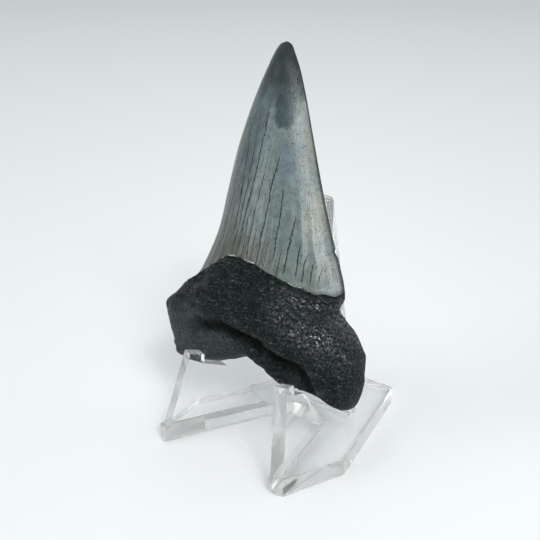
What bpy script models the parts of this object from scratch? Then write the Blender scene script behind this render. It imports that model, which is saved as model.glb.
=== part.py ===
"""Megalodon tooth resting on a clear acrylic display stand.

Frame: +Z up, +Y to the back, +X to the right seen from the front. The origin is on the floor, in
the stand's plane of symmetry, under the foot of the back post. Lengths are in millimetres here
and are scaled to metres where points are made.
"""

import math

import bmesh
import bpy
import numpy as np
from mathutils import Vector

MM = 0.001

# Stand: a thicker base plate, thinner arms and post.
PLATE = 3.9
SHEET = 3.0
CLEARANCE = 0.3
EDGE_ROUND = 0.35

# Base plate, right half; the left half mirrors it. Its front edge runs square to the fold.
FRONT_INNER = (16.3, -34.0)
KNEE = (23.2, -17.3)
REAR_CORNER = (9.8, 19.8)
GAP_REAR_Y = -4.0
SPLAY = 19.68
KNEE_ROUND = 2.0
REAR_ROUND = 1.5

# Arms: they rise from the inner edges of the plate and lean towards each other.
ARM_LEAN = 3.9
BEND_OUTSIDE = 2.0
BEND_INSIDE = 0.9
TAB_FRONT = (6.16, 22.1)
TAB_REAR = (9.7, 21.3)
SEAT_FRONT = (9.7, 19.0)
SEAT_REAR = (15.6, 17.1)
ARM_REAR_FOOT = (27.0, PLATE)
FOOT_LIP = 0.9

# Back post: a plate across the stand, tapering upwards.
POST_FRONT_Y = -1.0
POST_TOP_Z = 55.7
POST_FOOT_HALF = 11.8
POST_TOP_HALF = 2.5
POST_LEAN = 1.6
POST_TOP_ROUND = 1.2

# Tooth: leans back on the post. Its own axes are u across, v from root to tip, w to the front.
TOOTH_LEAN = 14.0
TOOTH_YAW = 6.0
TOOTH_AT = (0.0, -10.6, 18.5)
TIP_V = 72.9
ROOT_V = -6.4
LOWER_ROUND = 1.8
LEAST_HALF = 0.05
ACROSS = 34
ROOT_ROWS = 28
CROWN_ROWS = 25


def material(name, colour, roughness, transmission=0.0):
    made = bpy.data.materials.new(name)
    made.use_nodes = True
    shader = made.node_tree.nodes["Principled BSDF"]
    shader.inputs["Base Color"].default_value = (*colour, 1.0)
    shader.inputs["Roughness"].default_value = roughness
    shader.inputs["Metallic"].default_value = 0.0
    shader.inputs["Transmission Weight"].default_value = transmission
    return made


def add_object(name, bm, surface=None):
    mesh = bpy.data.meshes.new(name)
    bmesh.ops.recalc_face_normals(bm, faces=bm.faces)
    bm.to_mesh(mesh)
    bm.free()
    made = bpy.data.objects.new(name, mesh)
    bpy.context.scene.collection.objects.link(made)
    if surface:
        mesh.materials.append(surface)
    else:
        made.hide_render = True
        made.display_type = "WIRE"
    return made


def prism(outline, low, high, place):
    """Closed prism on an outline; place turns outline point and depth into a point in millimetres."""
    bm = bmesh.new()
    near = [bm.verts.new(Vector(place(a, b, low)) * MM) for a, b in outline]
    far = [bm.verts.new(Vector(place(a, b, high)) * MM) for a, b in outline]
    bm.faces.new(near)
    bm.faces.new(reversed(far))
    count = len(outline)
    for i in range(count):
        j = (i + 1) % count
        bm.faces.new((near[j], near[i], far[i], far[j]))
    return bm


def rounded(corners, radii, steps=5):
    """Outline with each corner replaced by an arc of its radius (0 keeps the corner sharp)."""
    points = []
    count = len(corners)
    for i in range(count):
        here = Vector(corners[i])
        before = (Vector(corners[i - 1]) - here).normalized()
        after = (Vector(corners[(i + 1) % count]) - here).normalized()
        if not radii[i]:
            points.append(tuple(here))
            continue
        half = before.angle(after) / 2
        middle = here + (before + after).normalized() * radii[i] / math.sin(half)
        start = here + before * radii[i] / math.tan(half) - middle
        end = here + after * radii[i] / math.tan(half) - middle
        for step in range(steps + 1):
            arm = start.lerp(end, step / steps)
            points.append(tuple(middle + arm.normalized() * radii[i]))
    return points


def mirrored(corners):
    return [(-x, y) for x, y in reversed(corners)]


def boolean(target, operation, other):
    step = target.modifiers.new(f"{operation.lower()} {other.name}", "BOOLEAN")
    step.operation = operation
    step.object = other


def round_edges(target, width, segments=2):
    step = target.modifiers.new("polished edges", "BEVEL")
    step.width = width * MM
    step.segments = segments
    step.limit_method = "ANGLE"
    step.angle_limit = math.radians(40)
    step.use_clamp_overlap = True


def arm_point(side):
    """Place for one arm: depth runs along the fold from front to rear, outline is (outward, up)."""
    along = (-math.sin(math.radians(SPLAY)), math.cos(math.radians(SPLAY)))
    outward = (math.cos(math.radians(SPLAY)), math.sin(math.radians(SPLAY)))

    def place(out, up, run):
        x = FRONT_INNER[0] + out * outward[0] + run * along[0]
        y = FRONT_INNER[1] + out * outward[1] + run * along[1]
        return side * x, y, up

    return place


def bent_section():
    """Cross-section of the sheet bent up at the plate's inner edge, with both bend radii."""
    lean = math.tan(math.radians(ARM_LEAN))
    wall = SHEET / math.cos(math.radians(ARM_LEAN))
    top = 24.0
    corners = [
        (30.0, 0.0),
        (0.0, 0.0),
        (-top * lean, top),
        (wall - top * lean, top),
        (wall - PLATE * lean, PLATE),
        (30.0, PLATE),
    ]
    return rounded(corners, [0, BEND_OUTSIDE, 0, 0, BEND_INSIDE, 0], 6)


def above_arm():
    """Outline (run, up) of everything that is cut away around the arm's side profile."""
    slope = TAB_FRONT[0] / (TAB_FRONT[1] - FOOT_LIP)
    seat = rounded([TAB_REAR, SEAT_FRONT, SEAT_REAR, ARM_REAR_FOOT], [0, 0.5, 1.2, 0], 4)
    rim = [(slope * (PLATE - FOOT_LIP), PLATE), TAB_FRONT, *seat]
    return [(-9.0, PLATE), *rim, (40.0, PLATE), (40.0, 30.0), (-9.0, 30.0)]


def stand_base(surface):
    """Bridge behind the gap, with a bent strip on each side of it, all cut to the plate's outline."""
    tilt = math.tan(math.radians(SPLAY))
    nose = (0.0, FRONT_INNER[1] - FRONT_INNER[0] * tilt)
    front_outer = arm_point(1)(SHEET, 0.0, 0.0)[:2]
    behind = [(9.5, GAP_REAR_Y), (34.0, 2.0), (34.0, 30.0)]
    base = add_object(
        "stand_base",
        prism([*behind, *mirrored(behind)], 0.0, PLATE, lambda x, y, z: (x, y, z)),
        surface,
    )
    run = (GAP_REAR_Y - FRONT_INNER[1]) / math.cos(math.radians(SPLAY)) + 1.5
    for side, word in ((1, "right"), (-1, "left")):
        place = arm_point(side)
        arm = add_object(f"{word} bend", prism(bent_section(), -5.0, run, place))
        shape = prism(above_arm(), -7.0, 40.0, lambda a, z, n, at=place: at(n, z, a))
        boolean(arm, "DIFFERENCE", add_object(f"{word} arm cutter", shape))
        boolean(base, "UNION", arm)
    right = [front_outer, KNEE, REAR_CORNER]
    radii = [0, KNEE_ROUND, REAR_ROUND]
    outline = rounded([nose, *right, *mirrored(right)], [0, *radii, *reversed(radii)])
    limits = prism(outline, -3.0, 40.0, lambda x, y, z: (x, y, z))
    boolean(base, "INTERSECT", add_object("plate outline", limits))
    round_edges(base, EDGE_ROUND)
    return base


def back_post(surface):
    corners = [
        (-POST_FOOT_HALF, 0.0),
        (POST_FOOT_HALF, 0.0),
        (POST_TOP_HALF, POST_TOP_Z - PLATE - CLEARANCE),
        (-POST_TOP_HALF, POST_TOP_Z - PLATE - CLEARANCE),
    ]
    outline = rounded(corners, [0, 0, POST_TOP_ROUND, POST_TOP_ROUND])
    post = add_object(
        "back_post", prism(outline, 0.0, SHEET, lambda x, z, y: (x, y, z)), surface
    )
    post.location = (0.0, POST_FRONT_Y * MM, (PLATE + CLEARANCE) * MM)
    post.rotation_euler = (-math.radians(POST_LEAN), 0.0, 0.0)
    round_edges(post, EDGE_ROUND)
    return post


def eased(knots, at):
    """Smooth curve through the knots: cubic pieces with the slope of the neighbouring chord."""
    x, y = np.array(knots, float).T
    slope = np.gradient(y, x)
    at = np.clip(at, x[0], x[-1])
    i = np.clip(np.searchsorted(x, at) - 1, 0, len(x) - 2)
    span = x[i + 1] - x[i]
    t = (at - x[i]) / span
    cubic = (2 * t**3 - 3 * t**2 + 1) * y[i] + (3 * t**2 - 2 * t**3) * y[i + 1]
    return cubic + span * ((t**3 - 2 * t**2 + t) * slope[i] + (t**3 - t**2) * slope[i + 1])


def step_up(low, high, at):
    t = np.clip((at - low) / (high - low), 0, 1)
    return t * t * (3 - 2 * t)


def left_edge(v):
    knots = [(ROOT_V, -27.9), (-4.6, -28.3), (-2, -29.3), (1.5, -31.2), (5, -33.1), (8, -33.2)]
    knots += [(11, -30.6), (15, -28.7), (20, -26.6), (27, -24.4), (36, -23.3), (48, -21.8)]
    knots += [(60, -18.9), (67, -16.5), (70, -15.3), (71.6, -14.4), (72.5, -13.5), (TIP_V, -12.4)]
    return eased(knots, v)


def right_edge(v):
    knots = [(ROOT_V, 19.5), (-4.6, 21.8), (-2, 22.9), (4, 23.0), (6.5, 22.6), (8.6, 21.3)]
    knots += [(10.4, 19.3), (12.4, 16.2), (14.3, 13.2), (17.5, 13.4), (20.5, 12.6), (24, 11.0)]
    knots += [(30, 8.0), (40, 3.6), (54, -2.0), (62, -5.2), (68, -8.0), (70.5, -9.5)]
    return eased([*knots, (71.8, -10.3), (72.5, -11.0), (TIP_V, -12.0)], v)


def bottom_lift(u):
    """The shallow arch of the root between its two lobes, highest left of the middle."""
    knots = [(-29, 1.4), (-24, 1.4), (-18, 1.9), (-12, 4.1), (-8, 5.5), (-4, 4.5), (0, 3.1)]
    knots += [(4, 1.4), (8, 1.9), (13, 2.2), (17, 1.1), (20.5, -0.5)]
    return eased(knots, u)


def lower_rim(u, v):
    """Quarter-round from 0 at the root's lower edge to 1 one radius above it."""
    height = np.clip((v - ROOT_V - bottom_lift(u)) / LOWER_ROUND, 0, 1)
    return np.sqrt(1 - (1 - height) ** 2)


def crown_line(u):
    """Height at which enamel meets root on the front: an arch with a low right end."""
    return eased([(-30, 13), (-24, 16.4), (-16, 22), (-9, 21.9), (3, 18.6), (14, 18.2)], u)


def ledge_line(u):
    return eased([(-24, 5), (-18, 7.3), (-7, 7.0), (3, 4.4), (14, 0.8), (18, -2.0)], u)


def front_depth(u, v, x):
    """How far the front (lingual) face stands from the plane of the cutting edges."""
    crown = eased([(10, 8.6), (30, 7.6), (50, 5.2), (68, 2.4), (TIP_V, 0.3)], v) * (1 - x * x) ** 0.9
    ledge = step_up(-1.8, 1.0, v - ledge_line(u)) * step_up(-27, -17, u)
    right = step_up(5, 14, u)
    top = step_up(0, 1, (crown_line(u) - v) / 7)
    lobe = 7.4 + 2.6 * step_up(-8, -13, u) + 4.6 * right
    torus = 8.0 + 4.6 * top
    lumps = 0.3 * np.sin(0.55 * u + 0.8 * v) * np.sin(0.7 * v - 0.3 * u + 1.0)
    root = lobe + (torus - lobe) * ledge
    root = (root + lumps * top) * (1 - np.abs(x) ** 5) ** 0.5
    root *= lower_rim(u, v)
    in_root = step_up(-0.6, 0.9, crown_line(u) - v)
    return crown + (np.maximum(root, 0) - crown) * in_root


def back_depth(u, v, x):
    """The flatter labial face, behind the plane of the cutting edges."""
    crown = -2.6 * (1 - x * x) ** 0.8 * step_up(TIP_V, TIP_V - 12, v)
    root = -2.3 * (1 - x**4)
    root *= lower_rim(u, v)
    return crown + (root - crown) * step_up(24, 10, v)


def seam_depth(v):
    """The seam between front and back: on the cutting edges of the crown, further in on the root."""
    return 3.2 * step_up(17, 7, v)


def tooth(surface):
    rows = np.concatenate(
        [
            ROOT_V + (21 - ROOT_V) * np.linspace(0, 1, ROOT_ROWS, endpoint=False) ** 1.15,
            TIP_V - (TIP_V - 21) * np.linspace(1, 0, CROWN_ROWS + 1) ** 1.4,
        ]
    )
    x = -np.cos(np.pi * np.arange(ACROSS + 1) / ACROSS)
    x = 0.65 * x + 0.35 * np.linspace(-1, 1, ACROSS + 1)
    v = np.repeat(rows[:, None], ACROSS + 1, axis=1)
    x = np.repeat(x[None, :], len(rows), axis=0)
    u = (left_edge(v) + right_edge(v)) / 2 + (right_edge(v) - left_edge(v)) / 2 * x
    v = v + bottom_lift(u) * step_up(14, ROOT_V, v)
    seam = seam_depth(v)
    rim = (np.abs(x) > 0.999999) | (v <= ROOT_V + bottom_lift(u) + 1e-6) | (v >= TIP_V - 1e-6)
    bm = bmesh.new()
    sheets = []
    for depth in (front_depth(u, v, x), back_depth(u, v, x)):
        w = depth + seam * np.clip(np.abs(x), 0, 1) ** 8
        w = np.minimum(w, seam - LEAST_HALF) if sheets else np.maximum(w, seam + LEAST_HALF)
        w = np.where(rim, seam, w)
        sheets.append(
            [[bm.verts.new((u[r, c] * MM, -w[r, c] * MM, v[r, c] * MM)) for c in range(ACROSS + 1)]
             for r in range(len(rows))]
        )
    for index, grid in enumerate(sheets):
        for r in range(len(rows) - 1):
            for c in range(ACROSS):
                quad = [grid[r][c], grid[r][c + 1], grid[r + 1][c + 1], grid[r + 1][c]]
                bm.faces.new(quad if index == 0 else list(reversed(quad)))
    bmesh.ops.remove_doubles(bm, verts=bm.verts, dist=1e-7)
    made = add_object("tooth", bm, surface)
    made.location = Vector(TOOTH_AT) * MM
    made.rotation_euler = (-math.radians(TOOTH_LEAN), 0.0, math.radians(TOOTH_YAW))
    return made


def main():
    for old in list(bpy.data.objects):
        bpy.data.objects.remove(old, do_unlink=True)
    clear = material("clear acrylic", (1.0, 1.0, 1.0), 0.03, 1.0)
    fossil = material("dark fossil enamel and root", (0.045, 0.055, 0.055), 0.35)
    stand_base(clear)
    back_post(clear)
    tooth(fossil)
    for made in bpy.data.objects:
        if made.type == "MESH" and not made.hide_render:
            made.data.shade_smooth()
            made.data.set_sharp_from_angle(angle=math.radians(40))


main()
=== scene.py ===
"""A fossil shark tooth standing on a clear acrylic display stand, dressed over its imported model."""

import math

import bmesh
import bpy
import numpy as np
from mathutils import Euler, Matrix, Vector


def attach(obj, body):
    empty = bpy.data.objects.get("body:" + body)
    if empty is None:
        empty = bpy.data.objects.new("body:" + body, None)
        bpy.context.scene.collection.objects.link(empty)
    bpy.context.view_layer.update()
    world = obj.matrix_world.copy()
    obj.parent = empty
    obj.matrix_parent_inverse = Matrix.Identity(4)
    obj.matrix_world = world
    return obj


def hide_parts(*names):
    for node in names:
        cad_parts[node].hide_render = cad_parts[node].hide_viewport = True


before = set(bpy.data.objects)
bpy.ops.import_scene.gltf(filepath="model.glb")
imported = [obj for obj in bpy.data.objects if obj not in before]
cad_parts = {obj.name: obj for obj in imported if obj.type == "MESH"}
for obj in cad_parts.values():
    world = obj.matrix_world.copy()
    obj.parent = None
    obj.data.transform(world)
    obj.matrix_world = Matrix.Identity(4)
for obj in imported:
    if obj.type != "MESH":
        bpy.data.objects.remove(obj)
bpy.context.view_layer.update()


# ---------------------------------------------------------------- tooth: its shape
# One fossil tooth: a smooth enamel crown over a coarse, dark, mineral-filled root with two lobes.
# It has no base of its own: the lobes rest in the stand's seats and the crown leans on the post.
# Its own axes are u across, v from root to tip and w to the front, all in millimetres.

MM = 0.001
TOOTH_AT = (0.0, -10.6, 18.5)
TOOTH_TURN = (math.radians(-14.0), 0.0, math.radians(6.0))
TIP_V = 72.9
ROOT_V = -6.4
# The radius of the root's lower edge, how far its sides stand in front of the cutting edges, the
# least distance of each face from the seam between them, and the height of a nick on the right.
LOWER_ROUND = 1.8
ROOT_SIDE_W = 3.2
LEAST_HALF = 0.05
NICK_V = 27.2
# How finely the tooth's two faces are divided.
COLUMNS = 190
ROOT_ROWS = 118
CROWN_ROWS = 132


def eased(knots, at):
    """Smooth curve through the knots: cubic pieces, with a mean of the two chords' slopes at each knot."""
    x, y = np.array(knots, float).T
    slope = np.gradient(y, x)
    at = np.clip(at, x[0], x[-1])
    i = np.clip(np.searchsorted(x, at) - 1, 0, len(x) - 2)
    span = x[i + 1] - x[i]
    t = (at - x[i]) / span
    cubic = (2 * t**3 - 3 * t**2 + 1) * y[i] + (3 * t**2 - 2 * t**3) * y[i + 1]
    return cubic + span * ((t**3 - 2 * t**2 + t) * slope[i] + (t**3 - t**2) * slope[i + 1])


def step_up(start, end, at):
    """0 up to start, 1 past end, and 3t^2 - 2t^3 between: a step down where end is below start."""
    t = np.clip((at - start) / (end - start), 0, 1)
    return t * t * (3 - 2 * t)


def lumps(a, b, size, seed):
    """Random heights from -1 to 1: one number at each corner of squares this many mm wide, blended.

    The seed picks one of many such fields, and a field repeats after 128 squares.
    """
    period = 128
    table = np.random.default_rng(seed).uniform(-1, 1, (period, period))
    i, j = np.floor(a / size).astype(int), np.floor(b / size).astype(int)
    s, t = a / size - i, b / size - j
    s, t = s * s * (3 - 2 * s), t * t * (3 - 2 * t)
    i, j, k, m = i % period, j % period, (i + 1) % period, (j + 1) % period
    near = table[i, j] * (1 - s) + table[k, j] * s
    far = table[i, m] * (1 - s) + table[k, m] * s
    return near * (1 - t) + far * t


def uneven(a, size, seed):
    """The same random heights taken along a line."""
    return lumps(a, 0 * a, size, seed)


def left_edge(v):
    """How far left the root's side and then the cutting edge lie, from root to tip."""
    knots = [(ROOT_V, -27.9), (-4.6, -28.3), (-2, -29.3), (1.5, -31.2), (5, -33.1), (8, -33.2)]
    knots += [(11, -30.6), (15, -28.7), (20, -26.6), (27, -24.4), (36, -23.3), (48, -21.8)]
    knots += [(60, -18.9), (67, -16.5), (70, -15.3), (71.6, -14.4), (72.5, -13.5), (TIP_V, -12.4)]
    return eased(knots, v)


def right_edge(v):
    """The same on the right, where the root is cut in to a neck just below the enamel."""
    knots = [(ROOT_V, 19.5), (-4.6, 21.8), (-2, 22.9), (4, 23.0), (6.5, 22.6), (8.6, 21.3)]
    knots += [(10.4, 19.3), (12.4, 16.2), (14.3, 13.2), (17.5, 13.4), (20.5, 12.6), (24, 11.0)]
    knots += [(30, 8.0), (40, 3.6), (54, -2.0), (62, -5.2), (68, -8.0), (70.5, -9.5)]
    knots += [(71.8, -10.3), (72.5, -11.0), (TIP_V, -12.0)]
    return eased(knots, v)


def root_arch(u):
    """The shallow arch of the root between its two lobes, highest left of the middle."""
    knots = [(-29, 1.4), (-24, 1.4), (-18, 1.9), (-12, 4.1), (-8, 5.5), (-4, 4.5), (0, 3.1)]
    knots += [(4, 1.4), (8, 1.9), (13, 2.2), (17, 1.1), (20.5, -0.5)]
    return eased(knots, u) + 0.12 * uneven(u, 1.5, 6)


def front_line(u):
    """Height at which enamel meets root on the front: a ragged arch that turns up at the right."""
    knots = [(-30, 13), (-24, 16.4), (-16, 22), (-9, 21.9), (3, 18.6), (10, 17.5), (12.4, 18.0)]
    line = eased([*knots, (14, 20.4)], u)
    ragged = 0.24 * uneven(u, 1.6, 8) + 0.12 * uneven(u, 0.7, 10)
    return line + ragged * step_up(-24, -20, u) * step_up(13, 11, u)


def back_line(u):
    """The enamel runs further down the back, in a flatter arch."""
    line = eased([(-30, 13), (-22, 11.4), (-8, 13.6), (4, 12.2), (10, 15.5), (14, 20.4)], u)
    return line + 0.12 * uneven(u, 1.2, 9) * step_up(-28, -24, u) * step_up(12, 10, u)


def ledge_line(u):
    """Height of the ledge on the root's front, which breaks off unevenly."""
    line = eased([(-24, 5), (-18, 7.3), (-7, 7.0), (3, 4.4), (14, 0.8), (18, -2.0)], u)
    return line + 0.5 * uneven(u, 3.0, 17) + 0.3 * uneven(u, 1.2, 18)


def ledge_hollow(u, v):
    """1 along the bottom of the groove that runs under the ledge, and 0 away from it."""
    groove = np.exp(-(((v - ledge_line(u) + 2.1) / 1.5) ** 2))
    return groove * step_up(-24, -17, u) * step_up(19, 13, u)


def root_wrinkles(u, v, below):
    """Waves about 0.2 mm high, upright below the left of the enamel and slanting below its right."""
    upright = np.sin(5.0 * u + 1.6 * lumps(u, v, 2.0, 15)) * step_up(-21, -16, u) * step_up(1, -4, u)
    slanting = np.sin(3.7 * below - 1.3 * u + 1.6 * lumps(u, v, 2.0, 16)) * step_up(1, 7, u)
    near = step_up(0.3, 1.2, below)
    return near * (0.20 * upright * step_up(5, 2, below) + 0.24 * slanting * step_up(8, 5, below))


def root_marks(u, v):
    """A raised ring 1.8 mm across on the right shoulder, and a worn bead just under the enamel."""
    from_ring = np.hypot(u - 18.9, v - 6.5) - 0.9
    ring = 0.35 * np.exp(-((from_ring / 0.32) ** 2))
    bead = 0.4 * np.exp(-(((u + 1.4) / 1.5) ** 2) - ((v - 17.6) / 0.45) ** 2)
    return ring + bead


def lower_rim(u, v):
    """Quarter-round from 0 at the root's lower edge to 1 one radius above it."""
    height = np.clip((v - ROOT_V - root_arch(u)) / LOWER_ROUND, 0, 1)
    return np.sqrt(1 - (1 - height) ** 2)


def growth_flow(x, v):
    """Which growth line a point lies on, from -1 to 1: the lines drift to the right as they rise."""
    return x - 0.013 * (v - 20) * (1 - x * x)


def joined(crown, root, above, x, groove):
    """The crown's depth above the enamel's edge and the root's from 1.1 mm below it.

    A groove this deep and 0.3 mm to each side runs 0.35 mm below that edge. It fades at the sides.
    """
    depth = crown + (root - crown) * step_up(0.1, 1.1, -above)
    return depth - groove * np.exp(-(((above + 0.35) / 0.28) ** 2)) * (1 - x**8)


def front_depth(u, v, x):
    """How far the front stands from the plane of the cutting edges.

    The crown is a low vault across the width, with faint folds along its growth lines and a raised
    lip at its foot. The root is a thick roll under the enamel that breaks off at a ledge above two
    thinner lobes, with three sizes of lump added together over all of it.
    """
    above = v - front_line(u)
    ridge = eased([(10, 8.6), (30, 7.6), (50, 5.2), (64, 3.1), (71, 1.4), (TIP_V, 0.3)], v)
    crown = ridge * (1 - x * x) ** 0.9
    flow = growth_flow(x, v)
    folds = np.sin(46 * flow + 2 * np.sin(5 * flow)) * step_up(44, 24, v)
    crown += (0.07 * folds + 0.10 * lumps(u, v, 9, 11)) * (1 - x**6)
    lip = 0.16 * np.exp(-(((above - 0.5) / 0.5) ** 2))
    crown += lip * (1 - x**6)
    ledge = step_up(-1.6, 0.8, v - ledge_line(u)) * step_up(-27, -17, u)
    roll = step_up(0, 1, -above / 7)
    lobe = 7.4 + 2.6 * step_up(-8, -13, u) + 4.6 * step_up(5, 14, u)
    root = lobe + (8.0 + 4.6 * roll - lobe) * ledge
    root += 0.3 * np.sin(0.55 * u + 0.8 * v) * np.sin(0.7 * v - 0.3 * u + 1) * roll
    root -= 1.5 * ledge_hollow(u, v)
    root += root_wrinkles(u, v, -above) + root_marks(u, v)
    grain = 0.30 * lumps(u, v, 3.1, 12) + 0.34 * lumps(u, v, 1.4, 13) + 0.27 * lumps(u, v, 0.8, 14)
    root += grain * step_up(0.2, 1.5, -above)
    root = root * np.sqrt(1 - np.abs(x) ** 5) * lower_rim(u, v)
    return joined(crown, np.maximum(root, 0), above, x, 0.42)


def back_depth(u, v, x):
    """The flatter back, behind the plane of the cutting edges, with a shallow hollow above its root."""
    above = v - back_line(u)
    crown = -2.6 * (1 - x * x) ** 0.8 * step_up(TIP_V, TIP_V - 12, v)
    crown += 0.5 * np.exp(-(((v - 19) / 6) ** 2) - (x / 0.5) ** 2)
    crown += 0.06 * lumps(u, v, 9, 21) * (1 - x**6)
    grain = 0.18 * lumps(u, v, 2.6, 22) + 0.16 * lumps(u, v, 1.2, 23) + 0.12 * lumps(u, v, 0.7, 24)
    root = (grain - 2.5) * (1 - x**4) * lower_rim(u, v)
    return joined(crown, root, above, x, -0.30)


# Growth cracks of the crown, left to right: u at four heights v, then the height of the upper end,
# the height of the lower end, and how open it is.
CRACK_HEIGHTS = (20, 32, 44, 58)
CRACKS = [
    (-27.0, -23.6, -21.5, -19.2, 27, 15, 0.50),
    (-26.0, -22.8, -20.9, -18.8, 40, 16, 0.55),
    (-24.8, -21.9, -20.2, -18.4, 33, 17, 0.60),
    (-23.7, -21.0, -19.5, -18.0, 47, 18, 0.60),
    (-22.5, -20.0, -18.7, -17.6, 38, 19, 0.70),
    (-21.2, -18.9, -17.8, -17.3, 50, 20, 0.70),
    (-19.4, -17.2, -16.8, -17.0, 38, 21, 0.60),
    (-17.0, -15.0, -15.6, -16.8, 53, 27, 0.90),
    (-15.2, -13.6, -13.4, -14.0, 50, 22, 0.70),
    (-12.9, -12.2, -11.5, -11.5, 58, 24, 1.00),
    (-11.3, -10.9, -10.2, -10.4, 36, 21, 0.55),
    (-9.8, -9.5, -9.0, -9.2, 44, 22, 0.70),
    (-8.4, -8.1, -7.9, -8.2, 30, 20, 0.50),
    (-6.8, -6.5, -6.6, -7.0, 47, 21, 1.00),
    (-4.6, -4.6, -5.2, -6.0, 31, 20, 0.50),
    (-2.6, -3.1, -4.5, -5.2, 40, 23, 0.85),
    (-1.0, -1.4, -2.6, -4.2, 27, 19, 0.50),
    (0.5, 0.1, -1.4, -3.4, 34, 20, 1.00),
    (3.0, 2.0, 0.2, -2.4, 29, 20, 0.85),
    (4.5, 3.8, 1.8, -1.2, 27, 19, 0.80),
    (6.2, 5.4, 3.2, -0.2, 25, 19, 0.70),
    (7.9, 7.0, 4.6, 0.8, 24, 19, 0.60),
    (9.6, 8.4, 5.8, 1.6, 22, 19, 0.45),
]


def crack_map(u, v):
    """Counts cracks from left to right, each at a whole number and a half, so a crack is a sharp line.

    Cracks wander by up to 0.23 mm and never cross. Returns the count, the distance between
    neighbours in mm, and how open the nearest crack is.
    """
    least_gap, outer_gap = 0.02, 2.0
    paths = [eased(list(zip(CRACK_HEIGHTS, row)), v) for row in CRACKS]
    wander = [
        0.16 * uneven(v, 2.6, 40 + n) + 0.07 * uneven(v, 0.9, 80 + n) for n in range(len(paths))
    ]
    paths = np.maximum.accumulate(np.array(paths) + np.array(wander), axis=0)
    paths += np.arange(len(paths)).reshape(-1, 1, 1) * least_gap
    count = 0.5 + np.zeros_like(u)
    gap = np.full_like(u, outer_gap)
    for left, right in zip(paths[:-1], paths[1:]):
        count += np.clip((u - left) / (right - left), 0, 1)
        gap = np.where((u > left) & (u <= right), right - left, gap)
    count += np.clip(u - paths[-1], 0, 0.5) - np.clip(paths[0] - u, 0, 0.5)
    nearest = np.clip(np.floor(count).astype(int), 0, len(CRACKS) - 1)
    top, low, opening = np.array(CRACKS).T[4:]
    reach = step_up(0, 4, top[nearest] - v) * step_up(0, 2, v - low[nearest])
    return count, gap, np.sqrt(reach) * opening[nearest]


def tooth_sheet(line, depth, mirror):
    """One face of the tooth as a grid of points (u, -w, v), its rim, and notes on each point.

    Columns run from edge to edge, x = -1 to 1, and are closer together at the edges. Rows run from
    the root's lower rim to the tip, and gather at the line where enamel meets root, so that the
    groove there is drawn by whole rows. Both faces end on one seam: the cutting edges, and below
    them a line that comes forward round the sides of the root.
    """
    even = np.linspace(-1, 1, COLUMNS + 1)
    x = -np.cos(np.pi * np.arange(COLUMNS + 1) / COLUMNS)
    x = 0.55 * x + 0.45 * even
    # Where a column crosses the line depends on its own u, so it is found by steps of half the way.
    steps, start = 60, 18.0
    meeting = np.full_like(x, start)
    for _ in range(steps):
        left, right = left_edge(meeting), right_edge(meeting)
        meeting = 0.5 * meeting + 0.5 * line((left + right) / 2 + (right - left) / 2 * x)
    # Rows of the root, and then of the crown, which are closer together at the tip as well.
    root = 1 - np.linspace(1, 0, ROOT_ROWS, endpoint=False) ** 1.35
    root = ROOT_V + (meeting - ROOT_V) * root[:, None]
    crown = np.linspace(0, 1, CROWN_ROWS + 1)
    crown = 0.55 * crown**1.5 + 0.45 * (1 - (1 - crown) ** 1.6)
    crown = meeting + (TIP_V - meeting) * crown[:, None]
    v = np.concatenate([root, crown])
    x = np.repeat(x[None, :], len(v), axis=0)
    left, right = left_edge(v), right_edge(v)
    u = (left + right) / 2 + (right - left) / 2 * x
    # The sides of the root are rough, and the right cutting edge has one nick.
    u += 0.22 * lumps(v, x, 1.4, 3) * step_up(17, 13, v) * np.abs(x) ** 8
    u -= 0.5 * np.exp(-(((v - NICK_V) / 0.5) ** 2)) * np.clip(x, 0, 1) ** 20
    v = v + root_arch(u) * step_up(14, ROOT_V, v)
    seam = ROOT_SIDE_W * step_up(17, 7, v)
    w = depth(u, v, np.clip(x, -1, 1)) + seam * np.abs(x) ** 8
    w = np.minimum(w, seam - LEAST_HALF) if mirror else np.maximum(w, seam + LEAST_HALF)
    rim = np.zeros(v.shape, bool)
    rim[0] = rim[-1] = rim[:, 0] = rim[:, -1] = True
    w = np.where(rim, seam, w)
    cracks = crack_map(left + right - u if mirror else u, v)
    hollow = ledge_hollow(u, v) * (not mirror)
    notes = [v - line(u), *cracks, growth_flow(x, v), x, hollow]
    return np.stack([u, -w, v], -1), rim, notes


def surface_mesh(name, points, faces, notes):
    """Mesh from points in metres and four-cornered faces, with one number a point for each note."""
    mesh = bpy.data.meshes.new(name)
    mesh.from_pydata(points, [], faces)
    for note, values in notes.items():
        mesh.attributes.new(note, "FLOAT", "POINT").data.foreach_set("value", values)
    mesh.shade_smooth()
    return mesh


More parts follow.
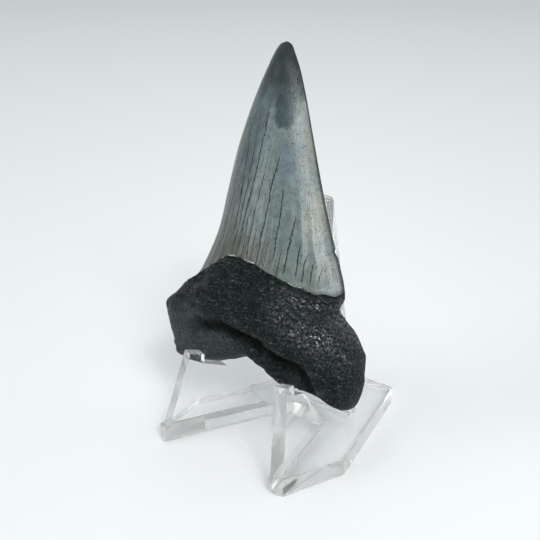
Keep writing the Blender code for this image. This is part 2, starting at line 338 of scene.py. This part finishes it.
def tooth_mesh():
    """Front and back sheets that share the points of their rim, placed where the tooth stands."""
    front, rim, front_notes = tooth_sheet(front_line, front_depth, False)
    back, _, back_notes = tooth_sheet(back_line, back_depth, True)
    rows, columns = rim.shape
    front_index = np.arange(rows * columns).reshape(rows, columns)
    inner = front_index.max() + np.cumsum(~rim).reshape(rows, columns)
    back_index = np.where(rim, front_index, inner)
    quads = []
    for index, order in ((front_index, (0, 1, 2, 3)), (back_index, (3, 2, 1, 0))):
        corners = [index[:-1, :-1], index[:-1, 1:], index[1:, 1:], index[1:, :-1]]
        quads.append(np.stack([corners[n] for n in order], -1).reshape(-1, 4))
    own = np.concatenate([front.reshape(-1, 3), back[~rim]])
    names = ("above_root", "crack_count", "crack_gap", "crack_open", "flow", "across", "hollow")
    notes = {
        name: np.concatenate([a.ravel(), b[~rim]])
        for name, a, b in zip(names, front_notes, back_notes)
    }
    turn = np.array(Euler(TOOTH_TURN).to_matrix())
    points = (own @ turn.T + np.array(TOOTH_AT)) * MM
    mesh = surface_mesh("fossil_tooth", points, np.concatenate(quads), notes)
    # The root takes the first material and the crown the second.
    crown = np.repeat(np.arange(rows - 1) >= ROOT_ROWS, columns - 1).astype(int)
    mesh.polygons.foreach_set("material_index", np.concatenate([crown, crown]))
    return mesh


# ---------------------------------------------------------------- tooth: its finish
# The crown is fossil enamel, stained slate at the tip and grey-green below, with growth cracks
# packed with dark sediment. The root is porous dentine filled with black phosphate, wet-looking
# where it has been handled.

# What many nodes share. A colour Mix node's sockets have numbers: the share of the second colour,
# the first colour, the second, and what comes out.
SMOOTH = {"interpolation_type": "SMOOTHSTEP"}
TO_PLACE = {"vector_type": "TEXTURE"}
COLOURS = {"data_type": "RGBA"}
TIMES = {"operation": "MULTIPLY"}
PLUS = {"operation": "ADD"}
LENGTH = {"operation": "LENGTH"}
SHARE, UNDER, OVER, MIXED = 0, 6, 7, 2
# Half the depth in mm of a patch that is meant to go right through the tooth.
THROUGH = 40.0


def linear(text):
    """sRGB hex to linear RGBA."""
    parts = [int(text[i : i + 2], 16) / 255 for i in (1, 3, 5)]
    return (*(c / 12.92 if c <= 0.04045 else ((c + 0.055) / 1.055) ** 2.4 for c in parts), 1.0)


def add(tree, kind, settings=(), inputs=()):
    """Adds one node: settings are its properties, inputs are values or other nodes' outputs."""
    made = tree.nodes.new("ShaderNode" + kind)
    for name, value in dict(settings).items():
        setattr(made, name, value)
    for name, value in dict(inputs).items():
        if isinstance(value, bpy.types.NodeSocket):
            tree.links.new(value, made.inputs[name])
        else:
            made.inputs[name].default_value = value
    return made.outputs


def started(name):
    """A new material, its node tree and its shader."""
    made = bpy.data.materials.new(name)
    made.use_nodes = True
    return made, made.node_tree, made.node_tree.nodes["Principled BSDF"]


def tooth_place(tree):
    """The tooth's own millimetres at a point of its surface, in the order (u, -w, v)."""
    place = {
        "Vector": add(tree, "TexCoord")["Object"],
        "Location": [n * MM for n in TOOTH_AT],
        "Rotation": TOOTH_TURN,
        "Scale": (MM, MM, MM),
    }
    return add(tree, "Mapping", TO_PLACE, place)[0]


def patch(tree, place, oval, fade):
    """How much of an oval patch lies here: 0 well outside it, rising to a share near its middle.

    oval holds its middle, half sizes and turn. fade holds the share, and the distances, counted in
    half sizes, between which it rises.
    """
    near = add(tree, "Mapping", TO_PLACE, {"Vector": place, **oval})[0]
    near = add(tree, "VectorMath", LENGTH, {0: near})["Value"]
    return add(tree, "MapRange", SMOOTH, {"Value": near, **fade})[0]


def enamel_stains_and_highlight(tree, own):
    """Share and tint of each stain and of one painted highlight, in the order in which they lie over each
    other.
    """
    # Noise with features 4 mm across moves the outlines of the zones by a millimetre or two.
    stir = add(tree, "TexNoise", (), {"Vector": own, "Scale": 0.24, "Detail": 5.0, "Roughness": 0.6})
    stir = {0: stir["Color"], 1: (6.0, 6.0, 9.0), 2: own}
    stir = add(tree, "VectorMath", {"operation": "MULTIPLY_ADD"}, stir)[0]
    stir = add(tree, "VectorMath", {"operation": "SUBTRACT"}, {0: stir, 1: (3.0, 3.0, 4.5)})[0]
    # Stained zones, and one painted highlight: middle (u, v), half width and height in mm, softness, tint,
    # strength.
    zones = [
        ((-22, 34), (6, 26), 0.6, "#525a57", 0.75),
        ((-14, 22), (16, 7), 0.6, "#56574f", 0.7),
        ((9, 22), (8, 9), 0.6, "#676f6b", 0.85),
        ((2, 34), (7, 14), 0.7, "#5b6866", 0.8),
        ((4.2, 36), (2.6, 6), 0.6, "#77786d", 0.6),
        ((-0.6, 50), (2.8, 5), 0.6, "#6f7165", 0.6),
        ((-14, 54), (4, 14), 0.6, "#46545b", 0.65),
        ((-9, 72), (16, 12), 0.35, "#1c2729", 0.95),
        ((-4.2, 56), (1.2, 4.5), 0.6, "#7a8480", 0.5),
        ((-3.6, 46), (2.4, 4.5), 0.6, "#52616a", 0.55),
        # A painted highlight, not a stain: the pale glow on the enamel's lower right corner.
        ((11.2, 19.6), (2.2, 2.0), 0.6, "#858d8e", 0.35),
        ((13.6, 18.4), (0.9, 3.5), 0.4, "#74684f", 0.7),
    ]
    stains = []
    for (u, v), (wide, high), soft, tint, strength in zones:
        oval = {"Location": (u, 0, v), "Scale": (wide, THROUGH, high)}
        fade = {"From Min": 1 + soft, "From Max": 1 - soft, "To Max": strength}
        stains.append((patch(tree, stir, oval, fade), tint))

    # One dark four-sided blotch below the tip, leaning to the right, with a frayed edge. Squaring
    # its coordinates before their distance is taken squares off the oval.
    fray = add(tree, "TexNoise", (), {"Vector": own, "Scale": 0.9, "Detail": 3.0})["Color"]
    fray = {0: fray, 1: (2.4, 0, 2.4), 2: own}
    fray = add(tree, "VectorMath", {"operation": "MULTIPLY_ADD"}, fray)[0]
    blotch = {"Vector": fray, "Location": (-6.5, 0, 58.4), "Scale": (2.0, THROUGH, 4.3)}
    blotch["Rotation"] = (0.0, math.radians(-13), 0.0)
    blotch = add(tree, "Mapping", TO_PLACE, blotch)[0]
    blotch = add(tree, "VectorMath", TIMES, {0: blotch, 1: blotch})[0]
    blotch = add(tree, "VectorMath", LENGTH, {0: blotch})["Value"]
    blotch = {"Value": blotch, "From Min": 1.3, "From Max": 0.7, "To Max": 0.85}
    return [*stains, (add(tree, "MapRange", SMOOTH, blotch)[0], "#2b383f")]


def enamel_cracks(tree, own, note):
    """Close to 1 in a crack, 0.75 in a pit and 0 on sound enamel."""
    # Cracks are up to 0.5 mm wide, pinched and beaded along their length. The distance to the
    # nearest is how far the count is from a whole number and a half, times the gap there.
    bead = add(tree, "TexNoise", (), {"Vector": own, "Scale": 1.3, "Detail": 3.0})["Fac"]
    bead = {"Value": bead, "From Min": 0.35, "From Max": 0.65, "To Min": 0.35, "To Max": 1.3}
    bead = add(tree, "MapRange", (), bead)[0]
    half = add(tree, "Math", TIMES, {0: note["crack_open"], 1: bead})[0]
    half = add(tree, "Math", TIMES, {0: half, 1: 0.28})[0]
    half = add(tree, "Math", {"operation": "MAXIMUM"}, {0: half, 1: 0.001})[0]
    off = add(tree, "Math", {"operation": "FRACT"}, {0: note["crack_count"]})[0]
    off = add(tree, "Math", {"operation": "SUBTRACT"}, {0: off, 1: 0.5})[0]
    off = add(tree, "Math", {"operation": "ABSOLUTE"}, {0: off})[0]
    off = add(tree, "Math", TIMES, {0: off, 1: note["crack_gap"]})[0]
    off = add(tree, "Math", {"operation": "DIVIDE"}, {0: off, 1: half})[0]
    crack = {"Value": off, "From Min": 1.0, "From Max": 0.35, "To Max": 0.95}
    crack = add(tree, "MapRange", SMOOTH, crack)[0]
    # Pin-prick pits 0.1 to 0.3 mm across.
    pits = add(tree, "TexNoise", (), {"Vector": own, "Scale": 2.6, "Detail": 1.0})["Fac"]
    pits = {"Value": pits, "From Min": 0.67, "From Max": 0.75, "To Max": 0.75}
    pits = add(tree, "MapRange", (), pits)[0]
    return add(tree, "Math", {"operation": "MAXIMUM"}, {0: crack, 1: pits})[0]


def enamel_material():
    """Polished fossil enamel: a grey-green ground, cloudy stains, and growth lines filled with dirt.

    Its hard gloss gives the crown long soft highlights that break at every crack.
    """
    made, tree, shader = started("fossil enamel")
    own = tooth_place(tree)
    names = ("above_root", "crack_count", "crack_gap", "crack_open", "flow", "across")
    note = {name: add(tree, "Attribute", {"attribute_name": name})["Fac"] for name in names}
    colour = linear("#616d6b")
    for share, tint in enamel_stains_and_highlight(tree, own):
        blend = {SHARE: share, UNDER: colour, OVER: linear(tint)}
        colour = add(tree, "Mix", COLOURS, blend)[MIXED]

    # Clouds 2 mm across and finer lighten and darken the stains.
    cloud = {"Vector": own, "Scale": 0.5, "Detail": 7.0, "Roughness": 0.75}
    cloud = add(tree, "TexNoise", (), cloud)["Fac"]
    cloud = {"Value": cloud, "From Min": 0.3, "From Max": 0.7, "To Min": 0.62, "To Max": 1.38}
    cloud = add(tree, "MapRange", (), cloud)[0]
    colour = add(tree, "VectorMath", {"operation": "SCALE"}, {0: colour, "Scale": cloud})[0]

    # Growth lines about 0.3 mm apart run with the crown and are darkest on the left.
    height = add(tree, "SeparateXYZ", (), {0: own})["Z"]
    flow = add(tree, "CombineXYZ", (), {"X": note["flow"], "Y": height})[0]
    lines = add(tree, "Mapping", (), {"Vector": flow, "Scale": (54.0, 0.12, 1.0)})[0]
    lines = {"Vector": lines, "Scale": 1.0, "Detail": 4.0, "Roughness": 0.65}
    lines = add(tree, "TexNoise", {"noise_dimensions": "2D"}, lines)["Fac"]
    streaks = {"Value": lines, "From Min": 0.5, "From Max": 0.64, "To Max": 0.95}
    streaks = add(tree, "MapRange", (), streaks)[0]
    leftwards = {"Value": note["flow"], "From Min": 0.7, "From Max": -0.8}
    leftwards = add(tree, "MapRange", SMOOTH, leftwards)[0]
    streaks = add(tree, "Math", TIMES, {0: streaks, 1: leftwards})[0]

    # The last few millimetres above the root are browner and darker, most of all on the left.
    foot = {"Value": note["above_root"], "From Min": 7.0, "From Max": 0.5, "To Max": 0.6}
    foot = add(tree, "MapRange", SMOOTH, foot)[0]
    foot = add(tree, "Math", TIMES, {0: foot, 1: leftwards})[0]
    cracks = enamel_cracks(tree, own, note)

    # Pale flecks along the lower lip here and there are a painted highlight on its edge. The right cutting
    # edge is dark.
    painted_lip_highlight = add(tree, "TexNoise", (), {"Vector": own, "Scale": 0.35, "Detail": 2.0})["Fac"]
    painted_lip_highlight = {"Value": painted_lip_highlight, "From Min": 0.52, "From Max": 0.60, "To Max": 0.7}
    painted_lip_highlight = add(tree, "MapRange", (), painted_lip_highlight)[0]
    lip = {"Value": note["above_root"], "From Min": 0.42, "From Max": 0.15}
    lip = add(tree, "MapRange", SMOOTH, lip)[0]
    lip = add(tree, "Math", TIMES, {0: lip, 1: painted_lip_highlight})[0]
    edge = {"Value": note["across"], "From Min": 0.955, "From Max": 0.985, "To Max": 0.8}
    edge = add(tree, "MapRange", SMOOTH, edge)[0]
    marks = [(streaks, "#2c3332"), (foot, "#3f423b"), (cracks, "#0c1112"), (lip, "#c9d0cb")]
    for share, tint in [*marks, (edge, "#23292a")]:
        blend = {SHARE: share, UNDER: colour, OVER: linear(tint)}
        colour = add(tree, "Mix", COLOURS, blend)[MIXED]
    tree.links.new(colour, shader.inputs["Base Color"])

    # Growth lines vary the polish and stand up by a few hundredths of a millimetre; cracks are cut in.
    polish = {"Value": lines, "From Min": 0.3, "From Max": 0.7, "To Min": 0.17, "To Max": 0.32}
    polish = add(tree, "MapRange", (), polish)[0]
    tree.links.new(polish, shader.inputs["Roughness"])
    ripple = add(tree, "Math", TIMES, {0: lines, 1: 0.35})[0]
    ripple = add(tree, "Math", {"operation": "SUBTRACT"}, {0: ripple, 1: cracks})[0]
    relief = {"Height": ripple, "Distance": 0.10 * MM, "Strength": 0.8}
    tree.links.new(add(tree, "Bump", (), relief)[0], shader.inputs["Normal"])
    shader.inputs["IOR"].default_value = 1.5
    shader.inputs["Specular IOR Level"].default_value = 0.25
    return made


def root_material():
    """Porous dentine filled with black phosphate: near-black and pebbly, with grains that glint."""
    made, tree, shader = started("phosphate-blackened root")
    own = tooth_place(tree)
    hollow = add(tree, "Attribute", {"attribute_name": "hollow"})["Fac"]

    # Pebbles about 0.8 mm across, with grain of 0.6 mm and finer over them.
    pebbles = {"Vector": own, "Scale": 1.2, "Smoothness": 0.35, "Detail": 1.0}
    pebbles = add(tree, "TexVoronoi", {"feature": "SMOOTH_F1"}, pebbles)["Distance"]
    grain = {"Vector": own, "Scale": 1.6, "Detail": 5.0, "Roughness": 0.8}
    grain = add(tree, "TexNoise", (), grain)["Fac"]
    height = add(tree, "Math", TIMES, {0: pebbles, 1: -0.75})[0]
    height = add(tree, "Math", PLUS, {0: height, 1: grain})[0]

    # Fibres of the old tissue slant down to the right, about 0.5 mm apart. Pale mineral grit of
    # 0.4 mm and finer shows where it falls on one.
    slant = {"Vector": own, "Rotation": (0.0, math.radians(-38), 0.0), "Scale": (0.22, 1.0, 1.9)}
    slant = add(tree, "Mapping", (), slant)[0]
    fibres = {"Vector": slant, "Scale": 1.0, "Detail": 4.0, "Roughness": 0.7}
    fibres = add(tree, "TexNoise", (), fibres)["Fac"]
    grit = {"Vector": own, "Scale": 2.6, "Detail": 3.0, "Roughness": 0.7}
    grit = add(tree, "TexNoise", (), grit)["Fac"]
    # These pale specks are partly mineral grit and partly painted glints on the grain.
    grit_and_painted_glints = add(tree, "Math", TIMES, {0: fibres, 1: 0.5})[0]
    grit_and_painted_glints = add(tree, "Math", PLUS, {0: grit_and_painted_glints, 1: grit})[0]
    grit_and_painted_glints = {"Value": grit_and_painted_glints, "From Min": 0.76, "From Max": 1.0}
    grit_and_painted_glints = add(tree, "MapRange", SMOOTH, grit_and_painted_glints)[0]

    # The left lobe's grit is lightened, partly pale dust and partly painted light from the lower left, and
    # the hollow under the ledge gets painted shade, near black.
    lobe = {"Location": (-20, -6, 2), "Scale": (15.0, 20.0, 8.0)}
    dust_and_painted_light = patch(tree, own, lobe, {"From Min": 1.2, "From Max": 0.5, "To Max": 0.5})
    dust_and_painted_light = add(tree, "Math", TIMES, {0: dust_and_painted_light, 1: grit})[0]
    painted_ledge_shade = {"Value": hollow, "From Min": 0.15, "From Max": 0.9, "To Max": 0.85}
    painted_ledge_shade = add(tree, "MapRange", (), painted_ledge_shade)[0]
    colour = linear("#081213")
    for share, tint in ((grit_and_painted_glints, "#5c6664"), (dust_and_painted_light, "#5f6b6c"), (painted_ledge_shade, "#030606")):
        blend = {SHARE: share, UNDER: colour, OVER: linear(tint)}
        colour = add(tree, "Mix", COLOURS, blend)[MIXED]
    tree.links.new(colour, shader.inputs["Base Color"])

    # The tops of the grain are rubbed to a wet shine from the enamel's right end down the right
    # shoulder, and dull elsewhere.
    shoulder = {"Location": (11, -8, 12.5), "Scale": (13.0, 14.0, 6.0)}
    shoulder["Rotation"] = (0.0, math.radians(30), 0.0)
    rubbed = patch(tree, own, shoulder, {"From Min": 1.3, "From Max": 0.6, "To Max": 1.0})
    tops = {"Value": grain, "From Min": 0.49, "From Max": 0.57}
    tops = add(tree, "MapRange", SMOOTH, tops)[0]
    rubbed = add(tree, "Math", TIMES, {0: rubbed, 1: tops})[0]
    tree.links.new(rubbed, shader.inputs["Coat Weight"])
    shader.inputs["Coat Roughness"].default_value = 0.06
    shader.inputs["Coat IOR"].default_value = 1.8
    wet = {"Height": pebbles, "Distance": -0.22 * MM, "Strength": 1.0}
    tree.links.new(add(tree, "Bump", (), wet)[0], shader.inputs["Coat Normal"])

    relief = {"Height": height, "Distance": 0.8 * MM, "Strength": 1.0}
    tree.links.new(add(tree, "Bump", (), relief)[0], shader.inputs["Normal"])
    shader.inputs["Roughness"].default_value = 0.45
    shader.inputs["IOR"].default_value = 1.45
    shader.inputs["Specular IOR Level"].default_value = 0.22
    return made


tooth = bpy.data.objects.new("fossil_tooth", tooth_mesh())
bpy.context.scene.collection.objects.link(tooth)
tooth.data.materials.append(root_material())
tooth.data.materials.append(enamel_material())
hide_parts("tooth")
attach(tooth, "root")


# ---------------------------------------------------------------- stand
# Cut from cast acrylic sheet: a base plate with two arms bent up out of it, and a tapering post
# cemented across its back. Faces are as cast, sawn edges are scraped and flame-polished, and the
# thicker plate's rim is scraped a little clearer.

PLATE_THICK = 3.9 * MM
FOLD_TURN = math.radians(19.68)
SHARP = math.radians(35)


def clear_acrylic(name, roughness, scuffed, clear):
    """Cast acrylic, as clear as glass along its faces and grey-white where an edge was sawn.

    It is scuffed times as rough where it is rubbed, and milky by what clear leaves of 1.
    """
    made, tree, shader = started(name)
    shader.inputs["Base Color"].default_value = linear("#ffffff")
    shader.inputs["Transmission Weight"].default_value = clear
    shader.inputs["IOR"].default_value = 1.49
    # Rubbed spots are 3 mm across and finer, as the stand's noise counts 350 to the metre.
    place = add(tree, "TexCoord")["Object"]
    scuffs = {"Vector": place, "Scale": 350.0, "Detail": 4.0, "Roughness": 0.7}
    scuffs = add(tree, "TexNoise", (), scuffs)["Fac"]
    dull = {"Value": scuffs, "From Min": 0.4, "From Max": 0.75}
    dull.update({"To Min": roughness, "To Max": scuffed * roughness})
    tree.links.new(add(tree, "MapRange", (), dull)[0], shader.inputs["Roughness"])
    depth = {"Color": linear("#edecea"), "Density": 18.0}
    depth = add(tree, "VolumeAbsorption", (), depth)[0]
    tree.links.new(depth, tree.nodes["Material Output"].inputs["Volume"])
    return made


def welded(node, sheet_face, finishes):
    """A copy of a node's mesh with its loose triangles joined into whole faces, its edges sharp.

    Faces that sheet_face picks from their normals get the first finish, sawn edges the second,
    and sawn edges no higher than the base plate, which are its rim, the third.
    """
    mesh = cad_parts[node].data.copy()
    shape = bmesh.new()
    shape.from_mesh(mesh)
    bmesh.ops.remove_doubles(shape, verts=shape.verts, dist=1e-6)
    bmesh.ops.dissolve_limit(shape, angle_limit=0.005, verts=shape.verts, edges=shape.edges)
    shape.to_mesh(mesh)
    shape.free()
    mesh.shade_smooth()
    mesh.set_sharp_from_angle(angle=SHARP)
    mesh.materials.clear()
    for finish in finishes:
        mesh.materials.append(finish)
    normals = np.zeros(len(mesh.polygons) * 3, np.float32)
    mesh.polygons.foreach_get("normal", normals)
    centres = np.zeros_like(normals)
    mesh.polygons.foreach_get("center", centres)
    sawn = ~sheet_face(*normals.reshape(-1, 3).T)
    kind = sawn * np.where(centres[2::3] < PLATE_THICK, 2, 1)
    mesh.polygons.foreach_set("material_index", kind.astype(np.int32))
    return mesh


def bent_sheet(x, y, z):
    """The plate's faces lie flat, and those of the arms turn only across their fold and lean."""
    flat, across, lean = 0.985, 0.06, 0.05
    along = np.abs(y) * math.cos(FOLD_TURN) - np.abs(x) * math.sin(FOLD_TURN)
    return (np.abs(z) > flat) | ((np.abs(along) < across) & (np.abs(z) > lean))


def post_sheet(x, y, z):
    """The post's two broad faces look to the front and the back."""
    return np.abs(y) > 0.9


finishes = [
    clear_acrylic("cast acrylic face", 0.01, 2.5, 1.0),
    clear_acrylic("flame-polished acrylic edge", 0.12, 1.5, 0.86),
    clear_acrylic("scraped acrylic rim", 0.08, 2.0, 0.95),
]
for node, name, sheet_face in (
    ("stand_base", "acrylic_base_and_arms", bent_sheet),
    ("back_post", "acrylic_back_post", post_sheet),
):
    piece = bpy.data.objects.new(name, welded(node, sheet_face, finishes))
    bpy.context.scene.collection.objects.link(piece)
    arris = piece.modifiers.new("arrises melted round", "BEVEL")
    arris.width = 0.25 * MM
    arris.segments = 2
    arris.angle_limit = SHARP
    flat = piece.modifiers.new("flat faces stay flat", "WEIGHTED_NORMAL")
    flat.weight = 100
    flat.keep_sharp = True
    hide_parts(node)
    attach(piece, "root")


# ---------------------------------------------------------------- table, light and camera
# A plain pale table top in a bright room. A large softbox stands to the right and in front with a
# small bright lamp beside it, and a wide weak lamp fills in from the left.

# The table lies 0.05 mm under the stand's feet, so that no two faces coincide.
TABLE_Z = -0.05 * MM
LAMPS_FACE = (0.0, 0.0, 0.03)


def table_top():
    """Matt white laminate, which spreads the light and shows no mirror image of the stand, with a pool of
    light painted on it.
    """
    made, tree, shader = started("matt white laminate with painted light pool")
    # A long pool of light is painted round the stand: it darkens by equal steps each time the distance
    # doubles.
    pool = {"Vector": add(tree, "TexCoord")["Object"], "Rotation": (0.0, 0.0, math.radians(42))}
    pool["Scale"] = (0.3, 1.0, 1.0)
    pool = add(tree, "Mapping", TO_PLACE, pool)[0]
    away = add(tree, "VectorMath", LENGTH, {0: pool})["Value"]
    away = add(tree, "Math", {"operation": "LOGARITHM"}, {0: away, 1: 2.0})[0]
    away = add(tree, "MapRange", (), {"Value": away, "From Min": -2.7, "From Max": 1.2})[0]
    blend = {SHARE: away, UNDER: linear("#f2f3f3"), OVER: linear("#dadddd")}
    colour = add(tree, "Mix", COLOURS, blend)[MIXED]
    tree.links.new(colour, shader.inputs["Base Color"])
    shader.inputs["Roughness"].default_value = 0.6
    shader.inputs["Specular IOR Level"].default_value = 0.2
    mesh = bpy.data.meshes.new("table_top")
    corners = [(x, y, TABLE_Z) for x, y in ((-5, -3), (3, -3), (3, 5), (-5, 5))]
    mesh.from_pydata(corners, [], [(0, 1, 2, 3)])
    mesh.materials.append(made)
    top = bpy.data.objects.new("table_top", mesh)
    bpy.context.scene.collection.objects.link(top)
    return top


table_top()


def lamp(name, at, size, power):
    """A square soft light this many metres wide, turned to face a point just above the table."""
    data = bpy.data.lights.new(name, "AREA")
    data.size = size
    data.energy = power
    made = bpy.data.objects.new(name, data)
    made.location = at
    made.rotation_euler = (Vector(at) - Vector(LAMPS_FACE)).to_track_quat("Z", "Y").to_euler()
    bpy.context.scene.collection.objects.link(made)


lamp("softbox", (2.1, -1.27, 1.7), 1.2, 44.0)
lamp("sparkle", (2.0, -1.25, 1.8), 0.3, 12.0)
lamp("fill", (-1.3, -2.4, 0.8), 1.6, 26.0)
room = bpy.data.worlds.new("bright room")
room.use_nodes = True
room.node_tree.nodes["Background"].inputs["Color"].default_value = linear("#e4eaec")
room.node_tree.nodes["Background"].inputs["Strength"].default_value = 0.80
bpy.context.scene.world = room
bpy.context.scene.view_settings.view_transform = "Standard"

# Light takes many turns inside the acrylic before it leaves, and stays sharp on the way.
paths = bpy.context.scene.cycles
paths.max_bounces = paths.transmission_bounces = 32
paths.glossy_bounces = 24
paths.blur_glossy = 0.0

# A frame 36 mm wide behind a 66.7 mm lens, which looks down by 18.68 degrees and to the left by
# 41.93 degrees.
LOOKS_DOWN, LOOKS_LEFT = math.radians(90 - 18.68), math.radians(41.93)
lens = bpy.data.cameras.new("camera")
lens.sensor_width = 36.0
lens.lens = 66.667
lens.clip_start = 0.01
camera = bpy.data.objects.new("camera", lens)
camera.location = (0.14075, -0.1725, 0.1132)
camera.rotation_euler = (LOOKS_DOWN, 0.0, LOOKS_LEFT)
bpy.context.scene.collection.objects.link(camera)
bpy.context.scene.camera = camera
